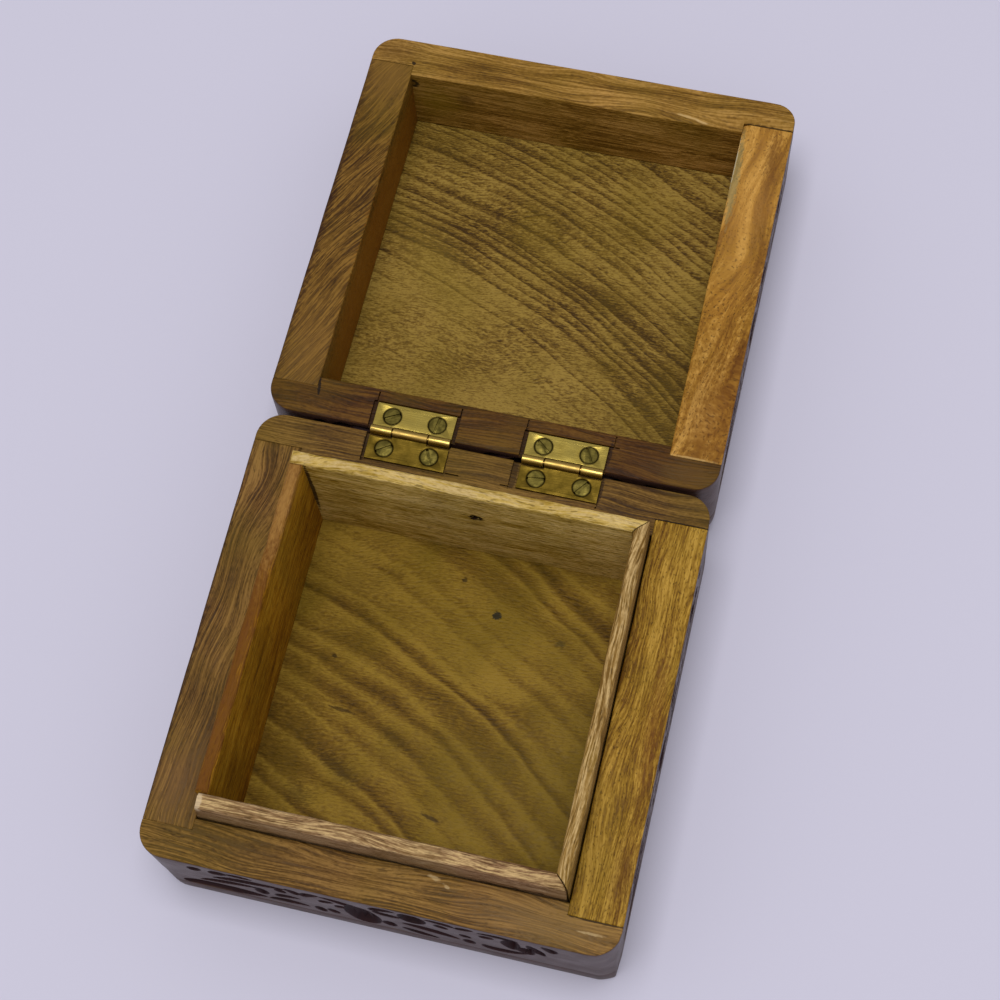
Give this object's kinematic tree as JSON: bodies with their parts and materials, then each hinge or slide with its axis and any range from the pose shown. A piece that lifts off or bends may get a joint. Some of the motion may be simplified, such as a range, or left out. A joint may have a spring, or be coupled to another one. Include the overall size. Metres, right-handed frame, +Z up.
{
  "type": "kumkum box",
  "caption": "Square carved wooden box with a deep hinged lid, folded open, its tray lined with thin strips that stand above the rim and close into the lid.",
  "frame": {"origin": "centre of the base's underside, on the table", "axes": "+X to the right along the hinge axis, +Y towards the hinges and the open lid, +Z up"},
  "size_m": [0.1016, 0.2028, 0.0407],
  "materials": {
    "wall_wood": "carved hardwood, lacquered outside, planed bare rims",
    "panel_wood": "planed hardwood with a thin satin lacquer",
    "liner_wood": "thin sawn hardwood, raw fuzzy top edges",
    "hinge_brass": "pressed brass sheet, slightly tarnished",
    "pin_brass": "drawn brass wire",
    "screw_brass": "turned brass, dull greenish tarnish"
  },
  "bodies": {
    "base": {"base_bottom_panel": "panel_wood", "base_front_wall": "wall_wood", "base_back_wall": "wall_wood", "base_left_wall": "wall_wood", "base_right_wall": "wall_wood", "liner_front": "liner_wood", "liner_back": "liner_wood", "liner_left": "liner_wood", "liner_right": "liner_wood", "left_hinge_base_leaf": "hinge_brass", "right_hinge_base_leaf": "hinge_brass", "left_hinge_pin": "pin_brass", "right_hinge_pin": "pin_brass", "base_hinge_screws": "screw_brass"},
    "lid": {"lid_top_panel": "panel_wood", "lid_front_wall": "wall_wood", "lid_back_wall": "wall_wood", "lid_left_wall": "wall_wood", "lid_right_wall": "wall_wood", "left_hinge_lid_leaf": "hinge_brass", "right_hinge_lid_leaf": "hinge_brass", "lid_hinge_screws": "screw_brass"}
  },
  "joints": [
    {"name": "lid_hinge", "type": "hinge", "parent": "base", "child": "lid", "pos_m": [0, 0.05106, 0.03155], "axis": [1, 0, 0], "range_deg": [0, 182.5]}
  ]
}
